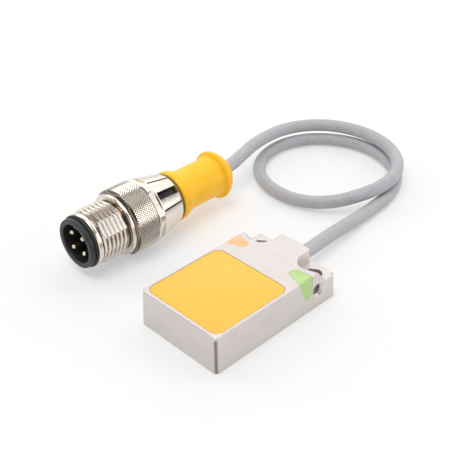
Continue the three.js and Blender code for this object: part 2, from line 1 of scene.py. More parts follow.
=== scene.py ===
"""Looks of a block proximity sensor with a looped cable and a four-pin plug.

Lengths in the code are millimetres and become metres when a piece is made. The plug's
pieces are described by (angle, radius, along): degrees above +X, distance from the
plug's axis, and distance behind its front face.
"""

import json
import math

import bmesh
import bpy
from mathutils import Matrix, Vector


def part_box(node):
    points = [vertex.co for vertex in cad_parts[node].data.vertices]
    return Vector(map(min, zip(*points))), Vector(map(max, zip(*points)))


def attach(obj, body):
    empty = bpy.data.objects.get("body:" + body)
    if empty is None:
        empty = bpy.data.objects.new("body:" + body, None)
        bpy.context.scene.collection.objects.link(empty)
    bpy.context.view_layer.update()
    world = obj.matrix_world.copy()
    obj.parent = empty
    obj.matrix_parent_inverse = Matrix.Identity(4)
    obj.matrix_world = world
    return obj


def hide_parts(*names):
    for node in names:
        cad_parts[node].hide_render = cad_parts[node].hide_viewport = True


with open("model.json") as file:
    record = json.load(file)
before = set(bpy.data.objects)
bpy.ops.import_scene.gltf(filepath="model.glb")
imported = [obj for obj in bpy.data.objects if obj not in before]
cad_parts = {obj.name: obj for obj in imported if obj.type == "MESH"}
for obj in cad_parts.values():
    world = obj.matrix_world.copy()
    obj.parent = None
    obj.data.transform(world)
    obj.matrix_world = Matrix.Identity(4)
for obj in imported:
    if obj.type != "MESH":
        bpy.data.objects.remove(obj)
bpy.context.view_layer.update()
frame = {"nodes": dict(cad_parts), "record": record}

MM = 0.001


def span(node):
    """Lowest and highest corner of a CAD node, in millimetres."""
    low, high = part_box(node)
    return Vector(low) / MM, Vector(high) / MM


# ------------------------------------------------------------------ sizes, from the frame

_, HOUSING_HIGH = span("housing")
HALF_WIDTH = HOUSING_HIGH.x  # at the foot; the walls lean in as they rise
HALF_LENGTH = HOUSING_HIGH.y
TOP = HOUSING_HIGH.z
DRAFT = 0.035  # how far a wall leans in per millimetre of height
CORNER = 0.9
TOP_ROUNDING = 0.26
RIM_ROUNDING = 0.14
BASE_ROUNDING = 0.12

CAP_LOW, CAP_HIGH = span("active_face_cap")
CAP_CORNER = 1.8
CAP_THICK = 1.0
CAP_GROOVE = 0.09

SHELF = 5.15  # height of the two screw shelves
SCREW_X = 7.0
SCREW_Y = 13.1
SCREW_HOLE = 1.7
POCKET = 3.1  # radius of the space over a shelf, round its screw
POCKET_SIDE = 2.9  # the same radius towards the side wall
NECK = 3.85  # half the width of the neck between the shelves
NECK_CORNER = 0.8
SIDE_HOLE_Y = 10.94
SIDE_HOLE_Z = 3.95
SIDE_HOLE = 1.05
SIDE_HOLE_MOUTH = 1.5
SIDE_HOLE_DEPTH = 4.6
WINDOW_DEPTH_TOP = 1.0
WINDOW_DEPTH_SIDE = 1.3

BUSH_LOW, BUSH_HIGH = span("cable_bush")
EXIT_Z = (BUSH_LOW.z + BUSH_HIGH.z) / 2
BUSH_RADIUS = (BUSH_HIGH.x - BUSH_LOW.x) / 2
CABLE_RADIUS = 1.5

NUT_LOW, NUT_HIGH = span("knurled_nut")
PLUG_X = (NUT_LOW.x + NUT_HIGH.x) / 2
PLUG_Z = (NUT_LOW.z + NUT_HIGH.z) / 2
PLUG_FRONT = span("contact_carrier")[0].y
NUT_RADIUS = 7.35
NUT_START = NUT_LOW.y - PLUG_FRONT
NUT_END = NUT_HIGH.y - PLUG_FRONT
CONE_START = span("rear_cone")[0].y - PLUG_FRONT
CONE_END = span("rear_cone")[1].y - PLUG_FRONT
GRIP_START = span("plug_grip")[0].y - PLUG_FRONT
GRIP_LIP = GRIP_START + 0.7  # where the set-back lip ends and the front ring begins
GRIP_END = span("plug_grip")[1].y - PLUG_FRONT

# ------------------------------------------------------------------ camera

AZIMUTH = 45.801  # degrees; 0 looks from -Y and 90 from +X
ELEVATION = 34.2
ROLL = -0.779
DISTANCE = 172.66  # from the origin, before the two sideways shifts below
AIM_RIGHT = -1.603
AIM_UP = 14.814
LENS = 69.13


def outward(azimuth, elevation):
    """Unit vector from the object towards a viewpoint or a lamp."""
    a = math.radians(azimuth)
    e = math.radians(elevation)
    return Vector((math.sin(a) * math.cos(e), -math.cos(a) * math.cos(e), math.sin(e)))


def make_camera():
    a = math.radians(AZIMUTH)
    r = math.radians(ROLL)
    back = outward(AZIMUTH, ELEVATION)
    level = Vector((math.cos(a), math.sin(a), 0))
    upright = back.cross(level)
    right = math.cos(r) * level + math.sin(r) * upright
    up = math.cos(r) * upright - math.sin(r) * level
    data = bpy.data.cameras.new("camera")
    data.lens = LENS
    data.sensor_width = 36
    data.clip_start = 0.005
    data.clip_end = 20
    camera = bpy.data.objects.new("camera", data)
    bpy.context.scene.collection.objects.link(camera)
    place = (back * DISTANCE + right * AIM_RIGHT + up * AIM_UP) * MM
    turn = Matrix((right, up, back)).transposed().to_4x4()
    camera.matrix_world = Matrix.Translation(place) @ turn
    bpy.context.scene.camera = camera


make_camera()

# ------------------------------------------------------------------ material helpers


class Paint:
    """A material under construction: short calls that add and join nodes."""

    def __init__(self, name, **settings):
        self.material = bpy.data.materials.new(name)
        self.material.use_nodes = True
        self.tree = self.material.node_tree
        self.surface = self.tree.nodes["Principled BSDF"]
        self.place = self.node("ShaderNodeTexCoord").outputs["Object"]
        for socket, value in settings.items():
            self.surface.inputs[socket.replace("_", " ")].default_value = value

    def node(self, kind, **settings):
        made = self.tree.nodes.new(kind)
        for name, value in settings.items():
            setattr(made, name, value)
        return made

    def join(self, source, target):
        self.tree.links.new(source, target)

    def stretched(self, scale):
        """The object's own coordinates, scaled by a different amount along each axis."""
        mapping = self.node("ShaderNodeMapping")
        mapping.inputs["Scale"].default_value = scale
        self.join(self.place, mapping.inputs["Vector"])
        return mapping.outputs["Vector"]

    def position(self):
        """The object's own X, Y and Z, in metres, as three sockets."""
        made = self.node("ShaderNodeSeparateXYZ")
        self.join(self.place, made.inputs["Vector"])
        return made.outputs

    def noise(self, size, detail=2.0, roughness=0.5, vector=None):
        """Soft noise whose blobs are about size millimetres across."""
        made = self.node("ShaderNodeTexNoise")
        made.inputs["Scale"].default_value = 1 / (size * MM)
        made.inputs["Detail"].default_value = detail
        made.inputs["Roughness"].default_value = roughness
        self.join(vector or self.place, made.inputs["Vector"])
        return made.outputs["Fac"]

    def spread(self, value, low, high, in_low=0.3, in_high=0.7):
        """The value taken from in_low..in_high to low..high, and held at those ends."""
        made = self.node("ShaderNodeMapRange")
        for socket, number in (("From Min", in_low), ("From Max", in_high),
                               ("To Min", low), ("To Max", high)):
            made.inputs[socket].default_value = number
        self.join(value, made.inputs["Value"])
        return made.outputs["Result"]

    def tones(self, value, first, second):
        """A colour that runs from first to second as value goes from 0 to 1."""
        made = self.node("ShaderNodeMix", data_type="RGBA")
        made.inputs["A"].default_value = (*first, 1)
        made.inputs["B"].default_value = (*second, 1)
        self.join(value, made.inputs["Factor"])
        return made.outputs["Result"]

    def shaded(self, skin, mask, shade):
        """A skin colour that comes from a node, taken towards shade where mask is 1."""
        made = self.tones(mask, (0, 0, 0), shade)
        self.join(skin, made.node.inputs["A"])
        return made

    def math(self, operation, a, b=0.0):
        made = self.node("ShaderNodeMath", operation=operation)
        for socket, value in zip(made.inputs, (a, b)):
            if isinstance(value, (int, float)):
                socket.default_value = value
            else:
                self.join(value, socket)
        return made.outputs["Value"]

    def color(self, value):
        self.join(value, self.surface.inputs["Base Color"])
        return self

    def rough(self, value):
        self.join(value, self.surface.inputs["Roughness"])
        return self

    def bump(self, *layers):
        """Stack bumps: each layer is a value and its height in micrometres."""
        normal = None
        for value, height in layers:
            made = self.node("ShaderNodeBump")
            made.inputs["Distance"].default_value = height * MM * MM
            self.join(value, made.inputs["Height"])
            if normal is not None:
                self.join(normal, made.inputs["Normal"])
            normal = made.outputs["Normal"]
        self.join(normal, self.surface.inputs["Normal"])
        return self


def corner_reflection_shade(p):
    """Mask for painted dark reflection: 1 along the middle of the housing's four upright rounded
    corners, 0 elsewhere.
    """
    fade_from, fade_to = 0.75, 0.5  # the shading ends this far below the top
    faint, full = 0.30, 0.95  # shares of the way round to the corner's middle
    at = p.position()
    lean = p.math("MULTIPLY", at["Z"], DRAFT)
    past = []
    for axis, half in (("X", HALF_WIDTH), ("Y", HALF_LENGTH)):
        reach = p.math("ADD", p.math("ABSOLUTE", at[axis]), lean)
        past.append(p.math("SUBTRACT", reach, (half - CORNER) * MM))
    middle = CORNER * math.sqrt(0.5) * MM
    band = p.spread(p.math("MINIMUM", *past), 0, 1, middle * faint, middle * full)
    below_top = p.spread(at["Z"], 1, 0, (TOP - fade_from) * MM, (TOP - fade_to) * MM)
    return p.math("MULTIPLY", band, below_top)


def housing_metal():
    """Nickel over a fine blasted zinc casting, with faint rub marks and painted dark reflection
    along its upright corners.
    """
    p = Paint("housing_metal", Metallic=1.0)
    cloud = p.noise(3.4, 3)
    grain = p.noise(0.16, 3, 0.6)
    rubs = p.noise(0.2, 2, 0.6, p.stretched((0.1, 0.1, 1)))
    tone = p.math("ADD", p.math("MULTIPLY", cloud, 0.35), p.math("MULTIPLY", grain, 0.65))
    skin = p.tones(p.spread(tone, 0, 1, 0.38, 0.62), (0.64, 0.592, 0.566), (0.70, 0.652, 0.628))
    # painted dark reflection: the skin is taken towards dark brown-grey along the upright
    # corners
    p.color(p.shaded(skin, corner_reflection_shade(p), (0.215, 0.185, 0.17)))
    p.rough(p.spread(rubs, 0.36, 0.48))
    return p.bump((grain, 8), (rubs, 6)).material


def plug_metal(name, deep, crest, shade=(0.20, 0.15, 0.11)):
    """Bright nickel on turned brass, with painted shade inside radius deep, gone by radius
    crest.
    """
    p = Paint(name, Metallic=1.0)
    rings = p.noise(0.05, 2, 0.7, p.stretched((0.002, 1, 0.002)))
    cloud = p.noise(1.8, 3)
    at = p.position()
    across = p.math("SUBTRACT", at["X"], PLUG_X * MM)
    upward = p.math("SUBTRACT", at["Z"], PLUG_Z * MM)
    radius = p.math("SQRT", p.math("ADD", p.math("MULTIPLY", across, across),
                                   p.math("MULTIPLY", upward, upward)))
    # painted shade: darker towards the axis, in the roots of the thread and the knurl's grooves
    groove_shade = p.spread(radius, 1, 0, deep * MM, crest * MM)
    skin = p.tones(p.spread(cloud, 0, 1), (0.74, 0.67, 0.60), (0.82, 0.76, 0.69))
    p.color(p.shaded(skin, groove_shade, shade))
    p.rough(p.spread(p.noise(0.5, 3), 0.15, 0.26))
    return p.bump((rings, 1.2)).material


def face_plastic():
    """The sensing face: smooth moulded plastic with a slight mottle."""
    p = Paint("face_plastic", Subsurface_Weight=0.06)
    p.surface.inputs["Subsurface Radius"].default_value = (0.0008, 0.0004, 0.0001)
    cloud = p.noise(4.0, 3)
    grain = p.noise(0.12, 2, 0.6)
    p.color(p.tones(p.spread(cloud, 0, 1), (0.91, 0.485, 0.05), (0.925, 0.50, 0.056)))
    p.rough(p.spread(grain, 0.42, 0.52))
    return p.bump((grain, 4)).material


def window_plastic(name, deep, pale):
    """A tinted light guide: cloudy depth under a smooth skin."""
    p = Paint(name, Subsurface_Weight=0.35, Coat_Weight=0.2, Coat_Roughness=0.2)
    p.surface.inputs["Subsurface Radius"].default_value = (0.0006, 0.0006, 0.0004)
    cloud = p.noise(2.6, 1)
    p.color(p.tones(p.spread(cloud, 0, 1), deep, pale))
    p.rough(p.spread(p.noise(0.3, 2), 0.30, 0.38))
    return p.bump((p.noise(1.4, 1), 2)).material


def moulded(name, deep, pale, rough, grain_size=0.14, grain_height=5):
    """A moulded or extruded plastic with a fine skin grain and a slight mottle."""
    p = Paint(name)
    cloud = p.noise(1.6, 3)
    grain = p.noise(grain_size, 3, 0.6)
    p.color(p.tones(p.spread(cloud, 0, 1), deep, pale))
    p.rough(p.spread(grain, rough - 0.05, rough + 0.07))
    return p.bump((grain, grain_height)).material


def grip_plastic():
    """Soft overmoulded polyurethane, with painted shadow on its set-back lip where it meets the
    sleeve.
    """
    p = Paint("grip_plastic", Subsurface_Weight=0.10, Specular_IOR_Level=0.35)
    p.surface.inputs["Subsurface Radius"].default_value = (0.0012, 0.0005, 0.0001)
    cloud = p.noise(3.0, 3)
    grain = p.noise(0.11, 3, 0.6)
    lip = PLUG_FRONT + GRIP_LIP
    # painted shadow in the gap between the grip's front ring and the sleeve
    lip_shadow = p.spread(p.position()["Y"], 1, 0, (lip - 0.1) * MM, (lip + 0.05) * MM)
    skin = p.tones(p.spread(cloud, 0, 1), (0.975, 0.50, 0.010), (0.995, 0.545, 0.016))
    p.color(p.shaded(skin, lip_shadow, (0.22, 0.15, 0.02)))
    p.rough(p.spread(grain, 0.36, 0.48))
    return p.bump((grain, 5), (cloud, 14)).material


def cable_jacket():
    """Extruded jacket: faint ripples along it and a fine skin."""
    p = Paint("cable_jacket")
    cloud = p.noise(2.2, 3)
    grain = p.noise(0.12, 3, 0.6)
    p.color(p.tones(p.spread(cloud, 0, 1), (0.385, 0.385, 0.405), (0.43, 0.43, 0.45)))
    p.rough(p.spread(grain, 0.40, 0.52))
    return p.bump((grain, 4), (p.noise(0.9, 2), 9)).material


def plated(name, deep, pale, rough):
    """A thin bright plating with a faint orange-peel skin."""
    p = Paint(name, Metallic=1.0)
    cloud = p.noise(0.6, 3)
    p.color(p.tones(p.spread(cloud, 0, 1), deep, pale))
    p.rough(p.spread(p.noise(0.15, 2), rough - 0.05, rough + 0.06))
    return p.bump((p.noise(0.1, 2), 2)).material


def winding():
    """Enamelled wire, seen as fine level turns."""
    p = Paint("winding", Metallic=0.9)
    turns = p.node("ShaderNodeTexWave", bands_direction="Z")
    turns.inputs["Scale"].default_value = 1400
    p.join(p.place, turns.inputs["Vector"])
    p.color(p.tones(turns.outputs["Fac"], (0.30, 0.10, 0.03), (0.72, 0.33, 0.14)))
    p.rough(p.spread(p.noise(0.3), 0.28, 0.42))
    return p.bump((turns.outputs["Fac"], 40)).material


def board():
    """Green solder mask over faint copper tracks."""
    p = Paint("board")
    tracks = p.node("ShaderNodeTexVoronoi", distance="MANHATTAN", feature="F1")
    tracks.inputs["Scale"].default_value = 700
    p.join(p.place, tracks.inputs["Vector"])
    lines = p.spread(tracks.outputs["Distance"], 0, 1, 0.42, 0.5)
    p.color(p.tones(lines, (0.012, 0.085, 0.035), (0.03, 0.16, 0.07)))
    p.rough(p.spread(p.noise(0.2), 0.30, 0.45))
    return p.bump((lines, 20)).material


# The record's material slots, and two more skins of the plug's metal: the knurl has its own
# radii for the painted groove shade, and the slotted sleeve has no grooves, so its radii lie
# far inside it and it gets no painted shade.
MATERIALS = {
    "housing_metal": housing_metal(),
    "face_plastic": face_plastic(),
    "ferrite": moulded("ferrite", (0.035, 0.035, 0.038), (0.06, 0.06, 0.063), 0.62, 0.2, 12),
    "grey_plastic": moulded("grey_plastic", (0.30, 0.30, 0.32), (0.36, 0.36, 0.38), 0.45),
    "copper": winding(),
    "board": board(),
    "resin": moulded("resin", (0.035, 0.037, 0.043), (0.06, 0.062, 0.07), 0.4, 0.6, 20),
    "black_plastic": moulded("black_plastic", (0.010, 0.010, 0.011), (0.017, 0.017, 0.018),
                             0.42),
    "green_window": window_plastic("green_window", (0.42, 0.60, 0.20), (0.47, 0.66, 0.25)),
    "amber_window": window_plastic("amber_window", (0.93, 0.44, 0.21), (0.95, 0.50, 0.26)),
    "black_rubber": moulded("black_rubber", (0.010, 0.010, 0.011), (0.018, 0.018, 0.02),
                            0.6, 0.1, 8),
    "wire_sheath": moulded("wire_sheath", (0.40, 0.40, 0.42), (0.50, 0.50, 0.52), 0.4, 0.1, 3),
    "plug_metal": plug_metal("plug_metal", 5.40, 5.66),
    "knurl_metal": plug_metal("knurl_metal", 7.19, 7.33, (0.22, 0.185, 0.15)),
    "sleeve_metal": plug_metal("sleeve_metal", 1.0, 1.1),
    "grip_plastic": grip_plastic(),
    "contact_gold": plated("contact_gold", (0.86, 0.72, 0.48), (0.93, 0.82, 0.62), 0.2),
    "cable_jacket": cable_jacket(),
}

# ------------------------------------------------------------------ mesh helpers


def raw(name, points, faces):
    """A throwaway object in millimetres, for cutting and rounding."""
    mesh = bpy.data.meshes.new(name)
    mesh.from_pydata([tuple(p) for p in points], [], faces)
    mesh.validate()
    made = bpy.data.objects.new(name, mesh)
    bpy.context.scene.collection.objects.link(made)
    return made


def drop(thing):
    """Delete an object together with its mesh."""
    mesh = thing.data
    bpy.data.objects.remove(thing)
    bpy.data.meshes.remove(mesh)


def baked(thing):
    """Replace an object's mesh by what its modifiers make of it."""
    view = bpy.context.evaluated_depsgraph_get()
    mesh = bpy.data.meshes.new_from_object(thing.evaluated_get(view))
    old = thing.data
    thing.modifiers.clear()
    thing.data = mesh
    bpy.data.meshes.remove(old)
    return thing


def tidy(thing, merge=1e-4):
    """Merge points closer than merge, drop what has no area, and turn faces outwards."""
    shape = bmesh.new()
    shape.from_mesh(thing.data)
    bmesh.ops.remove_doubles(shape, verts=shape.verts, dist=merge)
    bmesh.ops.dissolve_degenerate(shape, edges=shape.edges, dist=merge / 10)
    bmesh.ops.recalc_face_normals(shape, faces=shape.faces)
    shape.to_mesh(thing.data)
    shape.free()


def combine(thing, others, operation="DIFFERENCE"):
    """Cut other solids out of one, or keep what they share; the others are used up."""
    for other in others:
        step = thing.modifiers.new("combine", "BOOLEAN")
        step.operation = operation
        step.solver = "EXACT"
        step.object = other
    baked(thing)
    for other in others:
        drop(other)
    return thing


def finish_piece(thing, name, body, slot, *nodes, flat_angle=32, skin=None):
    """Turn a millimetre object into a finished piece in metres.

    Edges sharper than flat_angle degrees stay crisp. The skin is the material's name where
    it isn't the slot's own.
    """
    thing.name = name
    mesh = thing.data
    mesh.name = name
    mesh.transform(Matrix.Scale(MM, 4))
    shape = bmesh.new()
    shape.from_mesh(mesh)
    bmesh.ops.remove_doubles(shape, verts=shape.verts, dist=1e-7)
    bmesh.ops.recalc_face_normals(shape, faces=shape.faces)
    for face in shape.faces:
        face.smooth = True
    for edge in shape.edges:
        edge.smooth = edge.calc_face_angle(0) < math.radians(flat_angle)
    shape.to_mesh(mesh)
    shape.free()
    mesh.materials.clear()
    mesh.materials.append(MATERIALS[skin or slot])
    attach(thing, body)
    if nodes:
        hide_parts(*nodes)
    return thing


def box(low, high):
    """A solid box between two opposite corners."""
    corners = [(x, y, z) for z in (low[2], high[2]) for y in (low[1], high[1])
               for x in (low[0], high[0])]
    faces = [(0, 2, 3, 1), (4, 5, 7, 6), (0, 1, 5, 4), (2, 6, 7, 3), (0, 4, 6, 2), (1, 3, 7, 5)]
    return raw("box", corners, faces)


def loft(rings, name="loft"):
    """A closed solid through rings of equal point counts, capped at both ends."""
    count = len(rings[0])
    points = [p for ring in rings for p in ring]
    faces = [tuple(reversed(range(count)))]
    for level in range(len(rings) - 1):
        for i in range(count):
            j = (i + 1) % count
            low = level * count
            high = low + count
            faces.append((low + i, low + j, high + j, high + i))
    last = (len(rings) - 1) * count
    faces.append(tuple(range(last, last + count)))
    made = raw(name, points, faces)
    tidy(made)
    return made


def prism(outline, low, high):
    """An outline seen from above, made solid from one height to another."""
    return loft([[(x, y, low) for x, y in outline], [(x, y, high) for x, y in outline]])


def arc(cx, cy, radius, start, end, steps, radius_y=None):
    """Points along an arc, from one angle in degrees to another."""
    made = []
    for i in range(steps + 1):
        t = math.radians(start + (end - start) * i / steps)
        made.append((cx + radius * math.cos(t), cy + (radius_y or radius) * math.sin(t)))
    return made


def rounded(x0, x1, y0, y1, radius, steps=10):
    """The outline of a rectangle with round corners, counter-clockwise."""
    return (arc(x1 - radius, y0 + radius, radius, -90, 0, steps)
            + arc(x1 - radius, y1 - radius, radius, 0, 90, steps)
            + arc(x0 + radius, y1 - radius, radius, 90, 180, steps)
            + arc(x0 + radius, y0 + radius, radius, 180, 270, steps))


def bent(a, control, b, steps=8):
    """Points of a quadratic curve, without its first point."""
    made = []
    for i in range(1, steps + 1):
        t = i / steps
        made.append(tuple((1 - t) ** 2 * a[k] + 2 * t * (1 - t) * control[k] + t * t * b[k]
                          for k in range(2)))
    return made


def mirrored(thing):
    """A copy of an object on the other side of the housing."""
    copy = bpy.data.objects.new(thing.name + "_mirror", thing.data.copy())
    bpy.context.scene.collection.objects.link(copy)
    copy.data.transform(Matrix.Scale(-1, 4, (1, 0, 0)))
    copy.data.flip_normals()
    return copy


def both_sides(thing):
    """The object and its mirror copy, as a list of cutters."""
    return [thing, mirrored(thing)]


def skin_faces(columns, count, partner=lambda row, at_seam: row):
    """Faces of a closed skin of columns round an axis, each with count points in a loop.

    The row that a row meets in the next column is partner(row, at_seam), where at_seam says
    that the next column is the first one again.
    """
    faces = []
    for i in range(columns):
        j = (i + 1) % columns
        for k in range(count):
            m = (k + 1) % count
            faces.append((i * count + k, j * count + partner(k, j == 0),
                          j * count + partner(m, j == 0), i * count + m))
    return faces


def turned(profile, place, sides=64, name="turned"):
    """A closed solid of revolution; place(angle, radius, along) gives a point in space."""
    points = [place(360 * i / sides, r, a) for i in range(sides) for r, a in profile]
    made = raw(name, points, skin_faces(sides, len(profile)))
    tidy(made, 1e-5)
    return made


def softened(profile, radius, steps=3):
    """A closed profile with each corner replaced by a short arc-like curve."""
    made = []
    count = len(profile)
    for i, corner in enumerate(profile):
        here = Vector(corner)
        before = Vector(profile[i - 1]) - here
        after = Vector(profile[(i + 1) % count]) - here
        reach = min(radius, before.length * 0.45, after.length * 0.45)
        on_axis = corner[0] < 1e-6
        if on_axis or reach < 1e-4 or before.angle(after) > math.radians(165):
            made.append(tuple(here))
            continue
        start = here + before.normalized() * reach
        end = here + after.normalized() * reach
        made.append(tuple(start))
        made.extend(bent(start, here, end, steps))
    return made


def on_plug(angle, radius, along):
    """A point in space from the plug's own coordinates."""
    t = math.radians(angle)
    return (PLUG_X + radius * math.cos(t), PLUG_FRONT + along, PLUG_Z + radius * math.sin(t))


def on_exit(angle, radius, along):
    """A point round the line on which the cable leaves the housing; along is its Y."""
    t = math.radians(angle)
    return (radius * math.cos(t), along, EXIT_Z + radius * math.sin(t))


# ------------------------------------------------------------------ cable

# The centre line, from inside the neck to inside the grip: the CAD cable's own route.
CABLE_ROUTE = [
    (0, 12.4, 3.9), (0, 16.0, 3.9), (-0.1, 20.5, 3.8), (-0.8, 26.0, 3.3), (-1.6, 32.0, 2.5),
    (-2.2, 38.0, 1.8), (-2.6, 43.5, 1.52), (-3.1, 49.0, 1.52), (-4.6, 54.6, 1.52),
    (-7.7, 59.7, 1.52), (-12.4, 63.5, 1.52), (-18.2, 65.4, 1.52), (-24.4, 65.2, 1.52),
    (-30.1, 62.7, 1.52), (-34.5, 58.4, 1.52), (-36.8, 52.8, 1.52), (-36.7, 46.7, 1.52),
    (-34.3, 41.1, 1.52), (-29.9, 37.0, 1.52), (-24.3, 34.9, 1.52), (-18.3, 34.8, 1.6),
    (-13.0, 36.5, 2.1), (-8.7, 39.5, 3.0), (-5.6, 43.5, 4.1), (-4.0, 48.6, 4.7),
    (-4.7, 54.4, 4.75), (-7.6, 59.8, 4.7), (-12.4, 63.9, 4.7), (-18.5, 66.1, 4.7),
    (-25.1, 66.0, 4.7), (-31.2, 63.6, 4.7), (-35.8, 59.0, 4.75), (-37.9, 53.0, 5.0),
    (-37.5, 46.6, 5.6), (-35.9, 40.4, 6.4), (-33.8, 34.8, 7.0), (-32.1, 29.8, 7.3),
    (-31.4, 24.5, 7.37), (-31.4, 16.27, 7.37),
]


def through(points, per_span=8):
    """A smooth line through the points: a centripetal Catmull-Rom curve."""
    stops = [Vector(p) for p in points]
    stops = [2 * stops[0] - stops[1], *stops, 2 * stops[-1] - stops[-2]]
    line = []
    for i in range(1, len(stops) - 2):
        p0, p1, p2, p3 = stops[i - 1:i + 3]
        t0 = 0.0
        t1 = t0 + math.sqrt((p1 - p0).length)
        t2 = t1 + math.sqrt((p2 - p1).length)
        t3 = t2 + math.sqrt((p3 - p2).length)
        for k in range(per_span):
            t = t1 + (t2 - t1) * k / per_span
            a1 = p0.lerp(p1, (t - t0) / (t1 - t0))
            a2 = p1.lerp(p2, (t - t1) / (t2 - t1))
            a3 = p2.lerp(p3, (t - t2) / (t3 - t2))
            b1 = a1.lerp(a2, (t - t0) / (t2 - t0))
            b2 = a2.lerp(a3, (t - t1) / (t3 - t1))
            line.append(b1.lerp(b2, (t - t1) / (t2 - t1)))
    line.append(stops[-2])
    return line


def make_cable():
    """The jacket as a curve, and its length in metres."""
    line = through(CABLE_ROUTE)
    curve = bpy.data.curves.new("cable_jacket", "CURVE")
    curve.dimensions = "3D"
    curve.bevel_depth = CABLE_RADIUS * MM
    curve.bevel_resolution = 10
    curve.use_fill_caps = True
    spline = curve.splines.new("POLY")
    spline.points.add(len(line) - 1)
    for point, place in zip(spline.points, line):
        point.co = (*(place * MM), 1)
    spline.use_smooth = True
    curve.materials.append(MATERIALS["cable_jacket"])
    cable = bpy.data.objects.new("cable_jacket", curve)
    bpy.context.scene.collection.objects.link(cable)
    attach(cable, "sensor")
    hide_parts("cable")
    length = sum((b - a).length for a, b in zip(line, line[1:])) * MM
    return cable, length


cable, CABLE_LENGTH = make_cable()

# ------------------------------------------------------------------ housing


def footprint(shrink, radius):
    """The housing's outline seen from above, with its edge moved inwards."""
    return rounded(-HALF_WIDTH + shrink, HALF_WIDTH - shrink, -HALF_LENGTH + shrink,
                   HALF_LENGTH - shrink, radius, 12)


def block(grow=0.0):
    """The drafted block with a rounded top edge; grow moves its skin outwards."""
    levels = [(0, BASE_ROUNDING), (BASE_ROUNDING * 0.3, BASE_ROUNDING * 0.3), (BASE_ROUNDING, 0)]
    steps = 6
    for i in range(steps + 1):
        t = math.pi / 2 * i / steps
        levels.append((TOP - TOP_ROUNDING * (1 - math.sin(t)), TOP_ROUNDING * (1 - math.cos(t))))
    rings = []
    for z, inset in levels:
        outline = footprint(inset + DRAFT * z - grow, max(CORNER - inset * 0.6 + grow, 0.2))
        rings.append([(x, y, z + (grow if z > TOP / 2 else -grow)) for x, y in outline])
    return loft(rings, "block")


def pocket_outline():
    """A screw shelf seen from above: beside the neck, round the screw, and out to the side."""
    outer = HALF_WIDTH + 1
    rear = HALF_LENGTH + 1
    middle = NECK + POCKET
    outline = [(NECK - NECK_CORNER, rear)]
    outline += arc(NECK - NECK_CORNER, HALF_LENGTH - NECK_CORNER, NECK_CORNER, 90, 0, 10)
    outline += arc(middle, SCREW_Y, POCKET, 180, 270, 20)
    outline += arc(middle, SCREW_Y, POCKET_SIDE, 270, 360, 18, POCKET)[1:]
    return outline + [(outer, SCREW_Y), (outer, rear)]


def grown(outline, amount):
    """A counter-clockwise outline with its edge moved outwards."""
    made = []
    for i, (x, y) in enumerate(outline):
        before = outline[i - 1]
        after = outline[(i + 1) % len(outline)]
        along = Vector((after[0] - before[0], after[1] - before[1])).normalized()
        made.append((x + along.y * amount, y - along.x * amount))
    return made


def rounding(radius, steps=4):
    """Inset and height along the arc that rounds a rim, from the wall almost to the top."""
    sweep = math.radians(80)  # short of 90, so that the last step isn't level
    return [(radius * (1 - math.cos(t)), radius * (math.sin(t) - 1))
            for t in (sweep * i / steps for i in range(steps + 1))]


def shelf_pocket():
    """Space over a screw shelf: upright beside the neck, scooped towards the side."""
    outline = pocket_outline()
    middle = NECK + POCKET
    edge_slope = 0.3
    levels = [(0, SHELF)]
    levels += [(inset, TOP + rise) for inset, rise in rounding(RIM_ROUNDING)]
    levels += [(2 * RIM_ROUNDING, TOP + 0.2), (2 * RIM_ROUNDING, TOP + 1)]
    rings = []
    for grow, z in levels:
        ring = []
        for (x, y), (grown_x, grown_y) in zip(outline, grown(outline, grow)):
            shift = 0
            if x > middle and y <= SCREW_Y:  # the scooped wall leans back as it rises
                lip = SCREW_Y - POCKET + edge_slope * (x - middle)
                shift = (lip - y) * (z - SHELF) / (TOP - SHELF)
            elif y >= HALF_LENGTH - NECK_CORNER - 1e-6 and x <= NECK + 1e-6:
                shift = -DRAFT * z  # the neck's rear corner leans with the rear wall
            ring.append((grown_x, grown_y + shift, z))
        rings.append(ring)
    return loft(rings, "pocket")


def shelf_rim():
    """What has to go to round the shelf's outer edge."""
    region = prism(pocket_outline(), SHELF - 0.6, SHELF + 0.4)
    levels = [(-0.7, -0.7)] + rounding(RIM_ROUNDING) + [(0.7, 0.6)]
    rings = []
    for inset, rise in levels:
        outline = footprint(inset + DRAFT * (SHELF - RIM_ROUNDING), CORNER)
        rings.append([(x, y, SHELF + rise) for x, y in outline])
    return combine(region, [loft(rings)])


def bore(profile, axis_point, direction, sides=40):
    """A cutter turned round a line from axis_point; profile is (radius, along) pairs."""
    aim = Vector(direction).to_track_quat("Z", "Y").to_matrix()
    start = Vector(axis_point)

    def place(angle, radius, along):
        t = math.radians(angle)
        return start + aim @ Vector((radius * math.cos(t), radius * math.sin(t), along))

    return turned(profile, place, sides, "bore")


def window_top_outline(out):
    """The indicator window seen from above, on the +X side; out moves its edge outwards."""
    outer = HALF_WIDTH + 1
    made = [(outer, 5.25 - out), (6.5 - out, 6.75 - out)]
    made += bent(made[-1], (5.9 - out, 7.0 - out), (5.9 - out, 7.7))
    made += bent(made[-1], (5.9 - out, 9.0 + out), (7.2, 9.0 + out))
    return made + [(outer, 9.55 + out)]


def window_side_outline(out):
    """The same window on the side wall, as (y, z)."""
    top = TOP + 1
    made = [(5.0 - out, top), (5.65 - out, 7.9), (6.9 - out, 4.6)]
    made += bent(made[-1], (7.3 - out, 3.3 - out), (8.2, 3.3 - out))
    made += bent(made[-1], (9.1 + out, 3.4 - out), (9.3 + out, 4.8))
    return made + [(9.6 + out, 7.0), (9.6 + out, top)]


